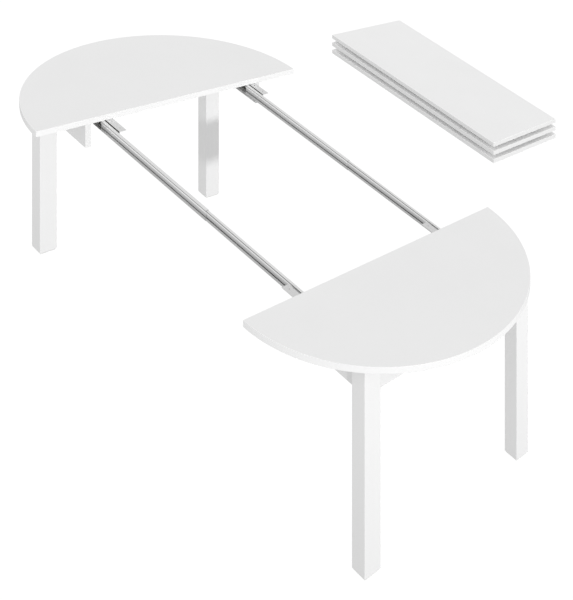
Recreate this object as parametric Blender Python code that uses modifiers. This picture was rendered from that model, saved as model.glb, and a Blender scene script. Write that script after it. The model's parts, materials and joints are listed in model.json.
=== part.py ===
"""Extendable dining table: two half-round tops on square legs, drawn apart on telescopic steel
rails, with three loose leaves stacked beside it. Metres, +Z up, floor at z = 0.

The rest state is the fully open one. +X is the way the right half travels when it opens.
"""

import math

import bmesh
import bpy
from mathutils import Matrix, Vector

# ---------------------------------------------------------------- driving dimensions
TOP_R = 0.525  # radius of the round top, so 1.05 m across when closed
TOP_T = 0.023  # board of the half tops
TOP_Z = 0.727  # upper face of the tops above the floor
OPENING = 1.206  # between the straight edges, fully open: three leaves and 6 mm of play
EDGE_X = OPENING / 2  # straight edge of each half, from the table's middle
ARC_STEPS = 72  # straight facets in each half circle
EDGE_ROUND = 0.0015

LEAF_W = 0.400  # across the table's opening
LEAF_L = 2 * TOP_R  # a leaf is as long as the top is wide
LEAF_T = 0.019
LEAF_PITCH = 0.038  # from one stacked leaf to the next
STACK_X = -0.116  # middle of the stack
STACK_Y = 0.955  # from the table's own long axis
STACK_TOP_Z = 0.830  # upper face of the topmost leaf
LEAF_SLOTS = (-0.4015, 0.0, 0.4015)  # middle of each leaf's place in the opening

LEG_SIDE = 0.060
LEG_IN = 0.335  # leg centre from the straight edge, and from the long axis
GLIDE_SIDE = 0.054  # square plastic pad under each leg
GLIDE_H = 0.0045

APRON_T = 0.020
APRON_DROP = 0.118  # lower edge of the aprons, from the upper face of the tops
APRON_SET = 0.009  # how far an apron stands back from the outer faces of its legs
APRON_END = 0.003  # side apron's free end, back from the straight edge

RAIL_Y = 0.29665  # half the distance between the two rails
RAIL_SHIFT = 0.00135  # the pair of rails lies this far off the long axis, towards the stack
FIXED_TIP = 0.513  # inner end of the left fixed rails, from the middle
FIXED_TIP_R = 0.520  # and of the right ones
FIXED_END = 0.905  # outer end of all fixed rails
SLIDE_LEN = 0.660  # each travelling rail
SLIDE_X = 0.276  # centre of each travelling rail when open
SLIDE_TOP = 0.0235  # upper face of the outer slides, from the upper face of the tops
SLIDE_W = 0.0125
SLIDE_H = 0.040
SLIDE_T = 0.0009  # sheet of the slides
PLATE_T = 0.0018  # sheet of the fixed rails
FLANGE_NEAR, FLANGE_FAR = 0.0115, 0.0375  # a fixed rail's flange, from the rail's centre
SLOT = (0.0250, 0.0286)  # slot along the front of a slide, from its upper face
CREASE = 0.0030  # crease above a slide's upper bead, from its upper face
UPPER_BEAD = (0.0068, 0.0084)  # where that bead stands out furthest
WEB_TOP = 0.0108  # under it the front is flat, down to the slot
LOWER_BEAD = 0.0315  # the lower bead runs from here to the slide's lower edge
CREASE_IN, WEB_IN = 0.0020, 0.0028  # how far crease and web lie behind the beads
SLIDE_EDGE = 0.0018  # slope along a slide's lower front edge
TONGUE_T = 0.0016  # lip of the right fixed rail, inside a slide's slot
TONGUE_H = 0.008  # how far the lip reaches above and below the slot
FOOT_GAP = 0.0005  # between a slide and the foot of the left fixed rail under it
FOOT_NEAR = -0.003  # free edge of that foot, from the rail's centre
PAD_W, PAD_L, PAD_T = 0.020, 0.300, 0.0040  # strips under a leaf that sit on the rails

HOLE_R = 0.0028  # screw holes in the rail flanges
HOLE_LINE = 0.0235  # line of the open holes in a flange, from the rail's centre
LEFT_HOLES = (-0.534, -0.590)  # open holes along the left rails
RIGHT_HOLE = 0.541  # and the one in each right rail
SCREW_LINE = 0.019  # line of the screws
SCREWS_X = (0.665, 0.850)  # screws along each rail, out from the middle
SCREW_R, SCREW_L = 0.0021, 0.0042
SCREW_HEAD_R, SCREW_HEAD_H, SCREW_HEAD_GAP = 0.0045, 0.0024, 0.0005
STIFFENER_X = (-0.740, -0.531)  # plate under the left half's back rail
STIFFENER_NEAR = -0.0105  # its free edge, from the rail's centre

BRACKET_T = 0.002
BRACKET_H = 0.040
BRACKET_FEET = 0.0885  # corner plate's two feet, from where the aprons' inner faces cross
BRACKET_FOOT_L = 0.026
BOLT_R = 0.004
BOLT_DROP = 0.095  # bolts below the upper face of the tops
BOLT_BACK, BOLT_TIP = 0.006, 0.050  # ends of a bolt, from the middle of the plate's web
BOLT_HEAD_R, BOLT_HEAD_H, BOLT_HEAD_BACK = 0.0075, 0.005, 0.0052
BOLT_PLAY = 0.0004  # round a bolt in its hole
BOLT_SPARE = 0.006  # the hole runs this far past the bolt's ends

GAP = 0.0003  # between pieces that meet

# The whole object is centred on the origin in Y: the far side of the stack against the rim.
AXIS_Y = -(STACK_Y + LEAF_W / 2 - TOP_R) / 2
UNDER_Z = TOP_Z - TOP_T - GAP  # what is fixed to a top starts here

# ---------------------------------------------------------------- scene
for old in list(bpy.data.objects):
    bpy.data.objects.remove(old, do_unlink=True)

table = bpy.data.collections.new("extendable_dining_table")
cutters = bpy.data.collections.new("cutters")
for group in (table, cutters):
    bpy.context.scene.collection.children.link(group)


def material(name, colour, roughness, metallic=0.0):
    made = bpy.data.materials.new(name)
    made.use_nodes = True
    shader = made.node_tree.nodes["Principled BSDF"]
    shader.inputs["Base Color"].default_value = (*colour, 1.0)
    shader.inputs["Roughness"].default_value = roughness
    shader.inputs["Metallic"].default_value = metallic
    made.diffuse_color = (*colour, 1.0)
    return made


FINISH = {
    "top": ((0.80, 0.80, 0.80), 0.45, 0.0),
    "leaf": ((0.78, 0.78, 0.78), 0.45, 0.0),
    "leg": ((0.84, 0.84, 0.83), 0.40, 0.0),
    "apron": ((0.76, 0.76, 0.76), 0.45, 0.0),
    "rail": ((0.62, 0.62, 0.64), 0.32, 1.0),
    "bracket": ((0.50, 0.50, 0.52), 0.40, 1.0),
    "bolt": ((0.42, 0.42, 0.44), 0.35, 1.0),
    "screw": ((0.55, 0.55, 0.57), 0.35, 1.0),
    "glide": ((0.70, 0.70, 0.69), 0.60, 0.0),
    "pad": ((0.55, 0.55, 0.54), 0.80, 0.0),
}


def carrier(name, at):
    """An empty on a joint's axis, which carries the pieces that move about it."""
    made = bpy.data.objects.new(name, None)
    made.location = at
    made.empty_display_size = 0.05
    table.objects.link(made)
    return made


def place(name, mesh, at, finish, group=table, parent=None):
    """One object with its own material, at a point in the room, on a carrier if one is given."""
    mesh.materials.clear()
    mesh.materials.append(material(f"{name}_{finish}", *FINISH[finish]))
    made = bpy.data.objects.new(name, mesh)
    made.parent = parent
    made.location = Vector(at) - (parent.location if parent else Vector())
    group.objects.link(made)
    if group is cutters:
        made.hide_render = True
        made.display_type = "WIRE"
    return made


def mesh_of(build):
    """A mesh from a function that fills a bmesh, with its faces turned outward."""
    shape = bmesh.new()
    build(shape)
    bmesh.ops.recalc_face_normals(shape, faces=shape.faces)
    mesh = bpy.data.meshes.new("shape")
    shape.to_mesh(mesh)
    shape.free()
    return mesh


def block(size):
    def build(shape):
        bmesh.ops.create_cube(shape, size=1.0, matrix=Matrix.Diagonal((*size, 1.0)))

    return mesh_of(build)


def prism(outline, depth):
    """A closed outline of 3-D points carried along a vector."""

    def build(shape):
        face = shape.faces.new([shape.verts.new(p) for p in outline])
        grown = bmesh.ops.extrude_face_region(shape, geom=[face])["geom"]
        moved = [g for g in grown if isinstance(g, bmesh.types.BMVert)]
        bmesh.ops.translate(shape, verts=moved, vec=Vector(depth))

    return mesh_of(build)


def rod(radius, length, sides=24):
    """A round bar centred on its middle, along Z."""

    def build(shape):
        bmesh.ops.create_cone(
            shape, cap_ends=True, segments=sides, radius1=radius, radius2=radius, depth=length
        )

    return mesh_of(build)


def bevel(obj, width, segments=2):
    made = obj.modifiers.new("edge", "BEVEL")
    made.width = width
    made.segments = segments
    made.limit_method = "ANGLE"
    made.angle_limit = math.radians(35)


def cut(obj, cutter):
    made = obj.modifiers.new(cutter.name, "BOOLEAN")
    made.operation = "DIFFERENCE"
    made.solver = "EXACT"
    made.object = cutter


def box(name, x, y, z, finish, edge=0.0):
    """A board between two limits on each axis, y measured from the table's long axis."""
    size = (x[1] - x[0], y[1] - y[0], z[1] - z[0])
    centre = (sum(x) / 2, sum(y) / 2 + AXIS_Y, sum(z) / 2)
    made = place(name, block(size), centre, finish)
    if edge:
        bevel(made, edge)
    return made


def rail(name, section, x, row, finish="rail"):
    """A section carried along X. It is drawn as (y, depth) from the rail's centre line and the top."""
    outline = [(x[0], y, TOP_Z - depth) for y, depth in section]
    return place(name, prism(outline, (x[1] - x[0], 0, 0)), (0, rail_y(row), 0), finish)


def rail_y(row):
    return AXIS_Y + RAIL_SHIFT + row * RAIL_Y


def inset(path, distance):
    """The open path of (y, depth) moved sideways to its inner side, with mitred corners."""
    moved = []
    for i, here in enumerate(path):
        before = (here - path[i - 1]).normalized() if i else None
        after = (path[i + 1] - here).normalized() if i + 1 < len(path) else None
        sides = [Vector((-way.y, way.x)) for way in (before, after) if way]
        middle = sum(sides, Vector((0, 0))).normalized()
        moved.append(here + middle * distance / middle.dot(sides[0]))
    return moved


def folded(path, inward, thickness):
    """A sheet section: the path, set in by a distance, is its outer face."""
    return inset(path, inward) + inset(path, inward + thickness)[::-1]


# ---------------------------------------------------------------- the two halves
def half_top(name, side):
    """A semicircle with its straight edge on the opening; its origin is the circle's centre."""
    arc = [math.pi * i / ARC_STEPS - math.pi / 2 for i in range(ARC_STEPS + 1)]
    outline = [(side * TOP_R * math.cos(a), TOP_R * math.sin(a), -TOP_T) for a in arc]
    made = place(name, prism(outline, (0, 0, TOP_T)), (side * EDGE_X, AXIS_Y, TOP_Z), "top")
    bevel(made, EDGE_ROUND)


def span(side, low, high):
    """Limits along X measured outward from the middle, in order, for either side."""
    return tuple(sorted((side * low, side * high)))


BOLT_Z = TOP_Z - BOLT_DROP
LEG_FACE = LEG_IN + LEG_SIDE / 2  # outer face of a leg from the straight edge
APRON_Y = LEG_FACE - APRON_SET - APRON_T  # inner face of a side apron
APRON_X = EDGE_X + LEG_FACE - APRON_SET - APRON_T  # inner face of an end apron


def corner(half, row_name, side, row):
    """Leg, glide, corner plate and bolt of one corner."""
    leg_at = Vector((side * (EDGE_X + LEG_IN), row * LEG_IN + AXIS_Y, 0))
    leg_z = (GLIDE_H + GAP, UNDER_Z)
    leg = place(
        f"{half}_leg_{row_name}",
        block((LEG_SIDE, LEG_SIDE, leg_z[1] - leg_z[0])),
        leg_at + Vector((0, 0, sum(leg_z) / 2)),
        "leg",
    )
    bevel(leg, EDGE_ROUND)
    glide = place(
        f"{half}_glide_{row_name}", block((GLIDE_SIDE, GLIDE_SIDE, GLIDE_H)),
        leg_at + Vector((0, 0, GLIDE_H / 2)), "glide",
    )
    bevel(glide, 0.0008, 1)

    # The plate: two feet on the aprons and a web across the corner.
    a, b, t = BRACKET_FEET, BRACKET_FOOT_L, BRACKET_T
    k = t * math.tan(math.pi / 8)
    outline = [
        (a + b, GAP), (a, GAP), (GAP, a), (GAP, a + b), (GAP + t, a + b), (GAP + t, a + k),
        (a + k, GAP + t), (a + b, GAP + t),
    ]
    crossing = Vector((side * APRON_X, row * APRON_Y + AXIS_Y, BOLT_Z - BRACKET_H / 2))
    points = [(-side * u, -row * v, 0) for u, v in outline]
    plate = place(f"{half}_corner_plate_{row_name}", prism(points, (0, 0, BRACKET_H)), crossing, "bracket")

    # The bolt runs through the web's middle into the leg's inner corner.
    web = Vector((side * (APRON_X - a / 2), row * (APRON_Y - a / 2) + AXIS_Y, BOLT_Z))
    toward = Vector((side, row, 0)).normalized()
    lean = Matrix.Rotation(math.pi / 2, 4, "Y")
    turned = Matrix.Rotation(math.atan2(row, side), 4, "Z") @ lean

    def cutter(name, radius, start, end):
        made = place(name, rod(radius, end - start), web + toward * (start + end) / 2, "bolt", cutters)
        made.rotation_euler = turned.to_euler()
        return made

    hole = cutter(
        f"cut_{half}_{row_name}", BOLT_R + BOLT_PLAY, -BOLT_BACK - BOLT_SPARE, BOLT_TIP + BOLT_SPARE
    )
    cut(plate, hole)
    cut(leg, hole)

    def build(shape):
        bmesh.ops.create_cone(
            shape, cap_ends=True, segments=16, radius1=BOLT_R, radius2=BOLT_R,
            depth=BOLT_TIP + BOLT_BACK, matrix=Matrix.Translation((0, 0, (BOLT_TIP - BOLT_BACK) / 2)),
        )

    bolt = place(f"{half}_bolt_{row_name}", mesh_of(build), web, "bolt")
    bolt.rotation_euler = turned.to_euler()
    head = place(
        f"join_{half}_{row_name}", rod(BOLT_HEAD_R, BOLT_HEAD_H, 6), web - toward * BOLT_HEAD_BACK,
        "bolt", cutters,
    )
    head.rotation_euler = turned.to_euler()
    joined = bolt.modifiers.new("head", "BOOLEAN")
    joined.operation = "UNION"
    joined.solver = "EXACT"
    joined.object = head


def half(name, side):
    half_top(f"{name}_top", side)
    low, high = TOP_Z - APRON_DROP, UNDER_Z
    for row_name, row in (("front", -1), ("back", 1)):
        corner(name, row_name, side, row)
        box(
            f"{name}_apron_{row_name}",
            span(side, EDGE_X + APRON_END, EDGE_X + LEG_IN - LEG_SIDE / 2 - GAP),
            tuple(sorted((row * APRON_Y, row * (APRON_Y + APRON_T)))),
            (low, high),
            "apron",
            0.001,
        )
    reach = LEG_IN - LEG_SIDE / 2 - GAP
    box(
        f"{name}_apron_end", span(side, APRON_X, APRON_X + APRON_T), (-reach, reach), (low, high),
        "apron", 0.001,
    )


half("left", -1)
half("right", 1)


# ---------------------------------------------------------------- rails
def drill(owner, name, x, y):
    hole = place(name, rod(HOLE_R, 5 * PLATE_T, 16), (x, y, UNDER_Z - PLATE_T / 2), "screw", cutters)
    cut(owner, hole)


def screw(name, x, y):
    """A pan-head screw up through a flange; its head hangs below it."""

    def build(shape):
        bmesh.ops.create_cone(
            shape, cap_ends=True, segments=12, radius1=SCREW_R, radius2=SCREW_R, depth=SCREW_L,
            matrix=Matrix.Translation((0, 0, SCREW_L / 2)),
        )

    shank = place(name, mesh_of(build), (x, y, UNDER_Z - SCREW_L), "screw")
    head_z = UNDER_Z - PLATE_T - SCREW_HEAD_GAP - SCREW_HEAD_H / 2
    head = place(f"join_{name}", rod(SCREW_HEAD_R, SCREW_HEAD_H, 16), (x, y, head_z), "screw", cutters)
    joined = shank.modifiers.new("head", "BOOLEAN")
    joined.operation = "UNION"
    joined.solver = "EXACT"
    joined.object = head


def slide_face():
    """Outer face of a slide, from the upper edge of its front slot over the top and back round."""
    w, h = SLIDE_W / 2, SLIDE_H
    web, crease = w - WEB_IN, w - CREASE_IN
    points = [
        (-web, SLOT[0]), (-web, WEB_TOP), (-w, UPPER_BEAD[1]), (-w, UPPER_BEAD[0]), (-crease, CREASE),
        (CREASE_IN / 2 - w, 0), (w, 0), (w, h), (SLIDE_EDGE - w, h), (-w, h - SLIDE_EDGE),
        (-w, LOWER_BEAD), (-web, SLOT[1]),
    ]
    return [Vector((y, SLIDE_TOP + depth)) for y, depth in points]


def left_section():
    """A flange under the top, a web down behind the slide, and a foot below it."""
    near, far, t = FLANGE_NEAR, FLANGE_FAR, PLATE_T
    top, foot = TOP_T + GAP, SLIDE_TOP + SLIDE_H + FOOT_GAP
    return [
        (far, top), (near, top), (near, foot), (FOOT_NEAR, foot), (FOOT_NEAR, foot + t),
        (near + t, foot + t), (near + t, top + t), (far, top + t),
    ]


def right_section():
    """A flange under the top, a web down in front of the slide, and a T-shaped tongue in its slot."""
    near, far, t = -FLANGE_NEAR, -FLANGE_FAR, PLATE_T
    top, middle = TOP_T + GAP, SLIDE_TOP + sum(SLOT) / 2
    high, low = middle - t / 2, middle + t / 2
    lip, reach = TONGUE_T / 2, TONGUE_H
    return [
        (near, top), (far, top), (far, top + t), (near - t, top + t), (near - t, low), (-lip, low),
        (-lip, low + reach), (lip, low + reach), (lip, high - reach), (-lip, high - reach), (-lip, high),
        (near, high),
    ]


NEST = SLIDE_T + GAP  # the inner slide is this much smaller all round
for row_name, row in (("front", -1), ("back", 1)):
    y = rail_y(row)
    fixed = rail(f"left_rail_{row_name}", left_section(), (-FIXED_END, -FIXED_TIP), row)
    for i, x in enumerate(LEFT_HOLES):
        drill(fixed, f"drill_left_{row_name}_{i}", x, y + HOLE_LINE)
    for i, x in enumerate(SCREWS_X, 1):
        drill(fixed, f"seat_left_{row_name}_{i}", -x, y + SCREW_LINE)
        screw(f"left_screw_{row_name}_{i}", -x, y + SCREW_LINE)

    outer = folded(slide_face(), 0, SLIDE_T)
    rail(f"outer_slide_{row_name}", outer, (-SLIDE_X - SLIDE_LEN / 2, SLIDE_LEN / 2 - SLIDE_X), row)
    inner = folded(slide_face(), NEST, SLIDE_T)
    rail(f"inner_slide_{row_name}", inner, (SLIDE_X - SLIDE_LEN / 2, SLIDE_X + SLIDE_LEN / 2), row)

    fixed = rail(f"right_rail_{row_name}", right_section(), (FIXED_TIP_R, FIXED_END), row)
    drill(fixed, f"drill_right_{row_name}", RIGHT_HOLE, y - HOLE_LINE)
    for i, x in enumerate(SCREWS_X, 1):
        drill(fixed, f"seat_right_{row_name}_{i}", x, y - SCREW_LINE)
        screw(f"right_screw_{row_name}_{i}", x, y - SCREW_LINE)

# A stiffening plate under the foot of the left half's back rail.
FOOT_LOW = SLIDE_TOP + SLIDE_H + FOOT_GAP + PLATE_T + GAP
stiffener = [
    (STIFFENER_NEAR, FOOT_LOW), (FLANGE_NEAR + PLATE_T, FOOT_LOW),
    (FLANGE_NEAR + PLATE_T, FOOT_LOW + PLATE_T), (STIFFENER_NEAR, FOOT_LOW + PLATE_T),
]
rail("left_rail_stiffener", stiffener, STIFFENER_X, 1, "bracket")


# ---------------------------------------------------------------- the leaves
# A quarter turn about this upright axis carries a leaf from the stack to above its own place.
for i, (leaf, slot) in enumerate(zip(("upper", "middle", "lower"), LEAF_SLOTS)):
    z = STACK_TOP_Z - i * LEAF_PITCH
    pivot = ((slot + STACK_Y + STACK_X) / 2, (slot + STACK_Y - STACK_X) / 2 + AXIS_Y, z)
    swing = carrier(f"swing_{leaf}", pivot)
    board = place(
        f"leaf_{leaf}", block((LEAF_L, LEAF_W, LEAF_T)),
        (STACK_X, STACK_Y + AXIS_Y, z - LEAF_T / 2), "leaf", parent=swing,
    )
    bevel(board, EDGE_ROUND)
    for end, way in (("a", -1), ("b", 1)):
        place(
            f"leaf_{leaf}_strip_{end}", block((PAD_W, PAD_L, PAD_T)),
            (STACK_X + RAIL_SHIFT + way * RAIL_Y, STACK_Y + AXIS_Y, z - LEAF_T - GAP - PAD_T / 2), "pad",
            parent=swing,
        )
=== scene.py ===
"""Looks of the extendable dining table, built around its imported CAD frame."""

import json
import math

import bmesh
import bpy
from mathutils import Matrix, Vector


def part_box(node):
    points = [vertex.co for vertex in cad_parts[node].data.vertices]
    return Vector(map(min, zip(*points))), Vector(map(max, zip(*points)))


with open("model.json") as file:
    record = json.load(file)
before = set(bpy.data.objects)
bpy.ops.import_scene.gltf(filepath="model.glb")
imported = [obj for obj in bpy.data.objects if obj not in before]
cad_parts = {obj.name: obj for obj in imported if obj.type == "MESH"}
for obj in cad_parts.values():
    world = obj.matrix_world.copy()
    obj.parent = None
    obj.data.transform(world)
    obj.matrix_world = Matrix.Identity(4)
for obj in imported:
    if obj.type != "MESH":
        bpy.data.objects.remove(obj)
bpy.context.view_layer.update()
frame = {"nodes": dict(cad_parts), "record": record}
NODES = frame["nodes"]

# ---------------------------------------------------------------- places, read from the frame
TOP_LOW, TOP_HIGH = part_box("left_top")
TOP_Z = TOP_HIGH.z
AXIS_Y = (TOP_LOW.y + TOP_HIGH.y) / 2  # the table's own long axis
MIDDLE = Vector((0, AXIS_Y, TOP_Z))  # middle of the opening, level with the tops


# ---------------------------------------------------------------- node trees
def grey(level):
    return (level, level, level)


class Tree:
    """A material's or world's node tree, with short calls for what is used here."""

    def __init__(self, owner):
        owner.use_nodes = True
        self.tree = owner.node_tree
        self.nodes = self.tree.nodes
        self.nodes.clear()

    def add(self, kind, **settings):
        node = self.nodes.new(kind)
        for name, value in settings.items():
            setattr(node, name, value)
        return node

    def link(self, output, socket):
        self.tree.links.new(output, socket)

    def maths(self, operation, a, b=None):
        node = self.add("ShaderNodeMath", operation=operation)
        for socket, value in zip(node.inputs, (a, b)):
            if value is None:
                continue
            if isinstance(value, (int, float)):
                socket.default_value = value
            else:
                self.link(value, socket)
        return node.outputs[0]

    def scaled(self, source, scale):
        """Coordinates multiplied axis by axis."""
        node = self.add("ShaderNodeMapping")
        node.inputs["Scale"].default_value = scale
        self.link(source, node.inputs["Vector"])
        return node.outputs["Vector"]

    def split(self, source):
        """The X, Y and Z outputs of a vector."""
        node = self.add("ShaderNodeSeparateXYZ")
        self.link(source, node.inputs["Vector"])
        return node.outputs

    def noise(self, where, scale, detail, roughness=0.5):
        node = self.add("ShaderNodeTexNoise")
        node.inputs["Scale"].default_value = scale
        node.inputs["Detail"].default_value = detail
        node.inputs["Roughness"].default_value = roughness
        self.link(where, node.inputs["Vector"])
        return node.outputs["Fac"]

    def blend(self, factor, a, b, kind="MIX"):
        """Two colours, each a socket or a fixed shade, mixed by a factor."""
        node = self.add("ShaderNodeMix", data_type="RGBA", blend_type=kind)
        for name, value in (("Factor", factor), ("A", a), ("B", b)):
            socket = next(s for s in node.inputs if s.name == name and s.enabled)
            if isinstance(value, bpy.types.NodeSocket):
                self.link(value, socket)
            else:
                socket.default_value = value if name == "Factor" else (*value, 1.0)
        return next(s for s in node.outputs if s.enabled)

    def ramp(self, factor, *stops):
        """A colour ramp from (place, colour or grey) pairs."""
        node = self.add("ShaderNodeValToRGB")
        ramp = node.color_ramp
        while len(ramp.elements) < len(stops):
            ramp.elements.new(0.5)
        for element, (place, shade) in zip(ramp.elements, stops):
            element.position = place
            colour = grey(shade) if isinstance(shade, (int, float)) else shade
            element.color = (*colour, 1.0)
        self.link(factor, node.inputs["Fac"])
        return node.outputs["Color"]


class Surface(Tree):
    """A material with one Principled shader, laid out in the frame's own coordinates."""

    def __init__(self, name):
        self.material = bpy.data.materials.new(name)
        super().__init__(self.material)
        self.where = self.add("ShaderNodeTexCoord").outputs["Object"]
        self.shader = self.add("ShaderNodeBsdfPrincipled")
        self.link(self.shader.outputs[0], self.add("ShaderNodeOutputMaterial").inputs["Surface"])

    def set(self, name, value):
        self.shader.inputs[name].default_value = value

    def feed(self, name, output):
        self.link(output, self.shader.inputs[name])

    def facing(self):
        """The X, Y and Z outputs of the surface's own direction."""
        return self.split(self.add("ShaderNodeNewGeometry").outputs["Normal"])

    def bump(self, height, strength, distance):
        node = self.add("ShaderNodeBump")
        node.inputs["Strength"].default_value = strength
        node.inputs["Distance"].default_value = distance
        self.link(height, node.inputs["Height"])
        self.feed("Normal", node.outputs["Normal"])


# ---------------------------------------------------------------- camera
# The photograph was taken with a tilted lens: uprights stay upright and parallel in it while level
# lines lean. A parent that is sheared the same way gives the camera that picture plane.
CAMERA_AT = MIDDLE + Vector((3.7017, -2.5854, 2.8640))
CAMERA_YAW = math.radians(144.4807)
CAMERA_DIP = math.radians(36.9600)
ACROSS = Vector((0.84679, 0.42501, 0.31987))  # what runs straight across the picture
LENS_MM = 81.602
SENSOR_MM = 36.0
NEAR, FAR = 0.05, 200.0  # what the camera sees lies between these distances


def make_camera():
    backward = -Vector((
        math.cos(CAMERA_YAW) * math.cos(CAMERA_DIP),
        math.sin(CAMERA_YAW) * math.cos(CAMERA_DIP),
        -math.sin(CAMERA_DIP),
    ))
    lean = Matrix((ACROSS, Vector((0, 0, 1)), backward)).transposed().to_4x4()

    data = bpy.data.cameras.new("camera")
    data.lens = LENS_MM
    data.sensor_width = SENSOR_MM
    data.clip_start, data.clip_end = NEAR, FAR
    camera = bpy.data.objects.new("camera", data)
    carrier = bpy.data.objects.new("camera_tilt", None)
    for obj in (camera, carrier):
        bpy.context.scene.collection.objects.link(obj)
    camera.parent = carrier
    camera.matrix_parent_inverse = Matrix.Translation(CAMERA_AT) @ lean
    bpy.context.scene.camera = camera


# ---------------------------------------------------------------- floor and light
ROOM_SIZE = 60.0
FLOOR_SHADE, FLOOR_ROUGHNESS, FLOOR_GLOW = 0.12, 0.9, 0.92
STUDIO_LEVEL = 0.735  # the world's strength at the horizon
STUDIO_SLOPE = 0.15  # added straight overhead, taken off straight down
KEY_RISE, KEY_TURN = math.radians(12.8), math.radians(-14.0)  # above the floor, and from +X
KEY_STRENGTH = 1.15
KEY_SPREAD = math.radians(1.8)


def make_floor():
    """An endless white floor, and a dome of the same white that closes it off behind everything."""
    white = Surface("floor_white")
    white.set("Base Color", (*grey(FLOOR_SHADE), 1))
    white.set("Roughness", FLOOR_ROUGHNESS)
    white.set("Emission Color", (1, 1, 1, 1))
    white.set("Emission Strength", FLOOR_GLOW)
    for name in ("floor", "dome"):
        shape = bmesh.new()
        if name == "floor":
            bmesh.ops.create_grid(shape, x_segments=2, y_segments=2, size=ROOM_SIZE)
        else:
            bmesh.ops.create_icosphere(shape, subdivisions=4, radius=ROOM_SIZE)
        mesh = bpy.data.meshes.new(name)
        shape.to_mesh(mesh)
        shape.free()
        mesh.materials.append(white.material)
        stage = bpy.data.objects.new(name, mesh)
        bpy.context.scene.collection.objects.link(stage)
        stage.visible_diffuse = False
        stage.visible_glossy = False
        stage.visible_shadow = False


def make_world():
    """An even white studio, a little brighter overhead than underfoot."""
    world = bpy.data.worlds.new("studio")
    bpy.context.scene.world = world
    t = Tree(world)
    up = t.split(t.add("ShaderNodeTexCoord").outputs["Generated"])["Z"]
    slope = t.maths("MULTIPLY", up, STUDIO_SLOPE)
    back = t.add("ShaderNodeBackground")
    back.inputs["Color"].default_value = (1, 1, 1, 1)
    t.link(t.maths("ADD", slope, STUDIO_LEVEL), back.inputs["Strength"])
    t.link(back.outputs[0], t.add("ShaderNodeOutputWorld").inputs["Surface"])


def make_key():
    """A sun low down beyond the right half: it lights the ends and lays that half's shadow on the
    back left leg."""
    data = bpy.data.lights.new("key", "SUN")
    data.energy = KEY_STRENGTH
    data.angle = KEY_SPREAD
    lamp = bpy.data.objects.new("key", data)
    bpy.context.scene.collection.objects.link(lamp)
    toward = Vector((
        math.cos(KEY_RISE) * math.cos(KEY_TURN),
        math.cos(KEY_RISE) * math.sin(KEY_TURN),
        math.sin(KEY_RISE),
    ))
    lamp.rotation_mode = "QUATERNION"
    lamp.rotation_quaternion = toward.to_track_quat("Z", "Y")


# ---------------------------------------------------------------- materials
# Noise patterns. Scales are per metre, and a stretch makes a pattern finer along some axes.
CLOUD = {"scale": 3.0, "detail": 4.0, "roughness": 0.6}  # the lacquer's faint cloudiness
SMEAR = {"scale": 9.0, "detail": 5.0, "roughness": 0.65}  # smears in its gloss
SMEAR_STRETCH = (1.0, 4.0, 4.0)
PEEL = {"scale": 900.0, "detail": 2.0}  # orange peel, about 1 mm across
ROLLING = {"scale": 14.0, "detail": 4.0, "roughness": 0.6}  # lines along X in sheet metal
ROLLING_STRETCH = (1.0, 60.0, 60.0)
GRAIN = {"scale": 12.0, "detail": 6.0, "roughness": 0.6}  # wood grain along Y
GRAIN_STRETCH = (30.0, 1.5, 30.0)

# Levels of a noise between which a ramp runs from its first to its second value.
SOFT = (0.30, 0.70)
LINED = (0.25, 0.75)
GRAINED = (0.35, 0.65)

# What those two values are: factors on a shade, and steps added to a roughness.
CLOUD_TINTS = (0.988, 1.008)
SMEAR_STEPS = (-0.05, 0.06)
ROLLING_TINTS = (0.95, 1.0)
ROLLING_STEPS = (-0.06, 0.08)
GRAIN_STEPS = (0.08, -0.05)

UPRIGHT, LEVEL = 0.25, 0.55  # the normal's Z, up to which a face is edge and from which it is top
FOOT_END = 0.9  # the legs' painted shade near the floor fades out at this share of the table's height
METALLIC = 0.55
PAINTED_SHADE_FACING = -0.5  # the normal's Y is below this on a face that takes painted shade
FOOT_T = 0.002  # a left rail's foot is at most this thick
# Painted shade on the left rail's web, as dark as the shaded recess beside a slide.
PAINTED_RECESS_SHADE = (0.12, 0.12, 0.11)
# Painted shade and highlight down the front of a slide, from its upper edge (0) to its lower one (1).
SLIDE_PAINTED_SHADES = (
    (0.00, 0.85),  # flat upper face
    (0.02, 0.25),  # crease under it
    (0.07, 0.25),
    (0.12, 1.00),  # upper bead
    (0.24, 1.00),
    (0.33, 0.72),  # web
    (0.62, 0.50),
    (0.68, 0.40),  # slot
    (0.76, 0.54),
    (0.88, 0.64),  # lower bead
)


def tints(levels, shade, factors):
    """A ramp's two stops, each the shade times a factor."""
    return [(level, tuple(v * factor for v in shade)) for level, factor in zip(levels, factors)]


def steps(levels, roughness, changes):
    """A ramp's two stops, each the roughness plus a change."""
    return [(level, roughness + change) for level, change in zip(levels, changes)]


def painted(name, shade, roughness, edge=None, foot=None):
    """White satin lacquer on smooth board. Upright faces can take another shade: painted light where
    it is lighter than the rest, painted shade where darker. Legs can take a painted shade, darker
    towards the floor."""
    t = Surface(name)
    tone = t.ramp(t.noise(t.where, **CLOUD), *tints(SOFT, shade, CLOUD_TINTS))
    # Upright faces get a shade of their own: painted light or painted shade, set apart from the level
    # faces.
    if edge:
        flat = t.maths("ABSOLUTE", t.facing()["Z"])
        tone = t.blend(t.ramp(flat, (UPRIGHT, 0.0), (LEVEL, 1.0)), edge, tone)
    # Painted shade on the legs, darker towards the floor.
    if foot:
        height = t.maths("DIVIDE", t.split(t.where)["Z"], TOP_Z)
        tone = t.blend(t.ramp(height, (0.0, 0.0), (FOOT_END, 1.0)), foot, tone)
    t.feed("Base Color", tone)
    smear = t.noise(t.scaled(t.where, SMEAR_STRETCH), **SMEAR)
    t.feed("Roughness", t.ramp(smear, *steps(SOFT, roughness, SMEAR_STEPS)))
    t.bump(t.noise(t.where, **PEEL), strength=0.05, distance=0.0004)
    return t.material


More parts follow.
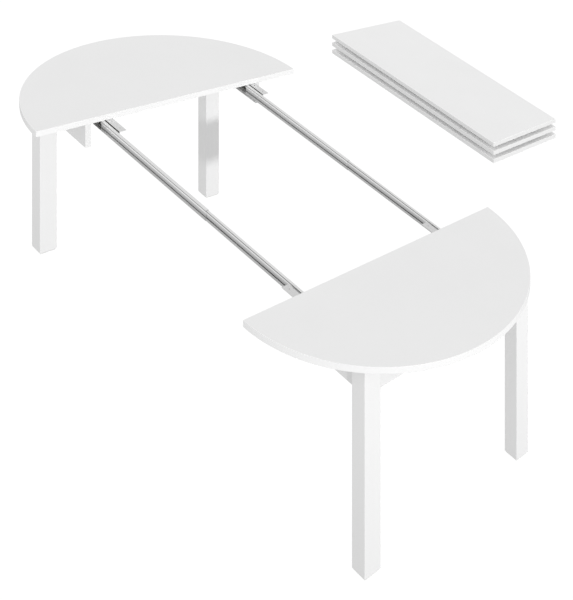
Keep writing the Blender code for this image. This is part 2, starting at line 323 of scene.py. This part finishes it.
def drawn_metal(name, shade, roughness, fold=None, painted_shade_rail=None):
    """Plated sheet metal with rolling lines along the rails. A folded section, whose node fold names,
    gets painted highlight on its beads and painted shade down in its creases and slot. The web of the
    left rail named last gets painted shade where a slide runs along it: on its face towards -Y, above
    its foot."""
    t = Surface(name)
    t.set("Metallic", METALLIC)
    lines = t.noise(t.scaled(t.where, ROLLING_STRETCH), **ROLLING)
    tone = t.ramp(lines, *tints(SOFT, shade, ROLLING_TINTS))
    # Painted shade in the slide's crease and slot, and painted highlight on its upper bead.
    if fold:
        low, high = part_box(fold)
        depth = t.maths("SUBTRACT", high.z, t.split(t.where)["Z"])
        down = t.maths("DIVIDE", depth, high.z - low.z)
        tone = t.blend(1.0, tone, t.ramp(down, *SLIDE_PAINTED_SHADES), "MULTIPLY")
    # Painted shade on the left rail's web where a slide runs along it, standing in for the recess's
    # shade.
    if painted_shade_rail:
        inside = t.maths("LESS_THAN", t.facing()["Y"], PAINTED_SHADE_FACING)
        above = t.maths("GREATER_THAN", t.split(t.where)["Z"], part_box(painted_shade_rail)[0].z + FOOT_T)
        tone = t.blend(t.maths("MULTIPLY", inside, above), tone, PAINTED_RECESS_SHADE)
    t.feed("Base Color", tone)
    t.feed("Roughness", t.ramp(lines, *steps(LINED, roughness, ROLLING_STEPS)))
    t.bump(lines, strength=0.08, distance=0.0002)
    return t.material


def bare_wood(name, light, dark, roughness):
    """Unpainted wood, its grain along Y, as the strips lie under a stacked leaf."""
    t = Surface(name)
    grain = t.noise(t.scaled(t.where, GRAIN_STRETCH), **GRAIN)
    t.feed("Base Color", t.ramp(grain, *zip(GRAINED, (dark, light))))
    t.feed("Roughness", t.ramp(grain, *steps(SOFT, roughness, GRAIN_STEPS)))
    t.bump(grain, strength=0.2, distance=0.0003)
    return t.material


FINISH = {
    # The tops' upright faces are painted lighter: painted light on their rims.
    "top": painted("top_lacquer", grey(0.89), roughness=0.42, edge=grey(0.92)),
    # The leaves' upright faces are painted darker: painted shade on their edges.
    "leaf": painted("leaf_lacquer", grey(0.92), roughness=0.42, edge=grey(0.81)),
    # The legs take a painted shade near the floor.
    "leg": painted("leg_lacquer", grey(0.90), roughness=0.38, foot=grey(0.82)),
    "apron": painted("apron_lacquer", grey(0.87), roughness=0.42),
    "strip": bare_wood("strip_wood", (0.52, 0.43, 0.32), (0.38, 0.29, 0.20), roughness=0.7),
    "rail": drawn_metal("rail_steel", grey(0.76), roughness=0.40),
    "bracket": drawn_metal("bracket_steel", grey(0.92), roughness=0.40),
    "bolt": drawn_metal("bolt_steel", (0.50, 0.50, 0.52), roughness=0.35),
    "screw": drawn_metal("screw_steel", (0.55, 0.55, 0.56), roughness=0.35),
    "glide": painted("glide_plastic", (0.70, 0.70, 0.69), roughness=0.5),
}
# The left rails take painted shade on their web beside the slide.
LEFT_RAIL = drawn_metal("left_rail_steel", grey(0.76), roughness=0.40, painted_shade_rail="left_rail_front")
SLIDE_STEEL = {
    kind: drawn_metal(f"{kind}_slide_steel", grey(1.0), roughness=0.40, fold=f"{kind}_slide_front")
    for kind in ("outer", "inner")
}


def dress_nodes():
    for part in frame["record"]["subparts"]:
        node = NODES[part["node"]]
        kind = part["node"].split("_")[0]
        material = SLIDE_STEEL.get(kind) or FINISH[part["material_slot"]]
        if part["node"] in ("left_rail_front", "left_rail_back"):
            material = LEFT_RAIL
        node.data.materials.clear()
        node.data.materials.append(material)


make_camera()
make_floor()
make_world()
make_key()
dress_nodes()

bpy.context.scene.view_settings.view_transform = "Standard"
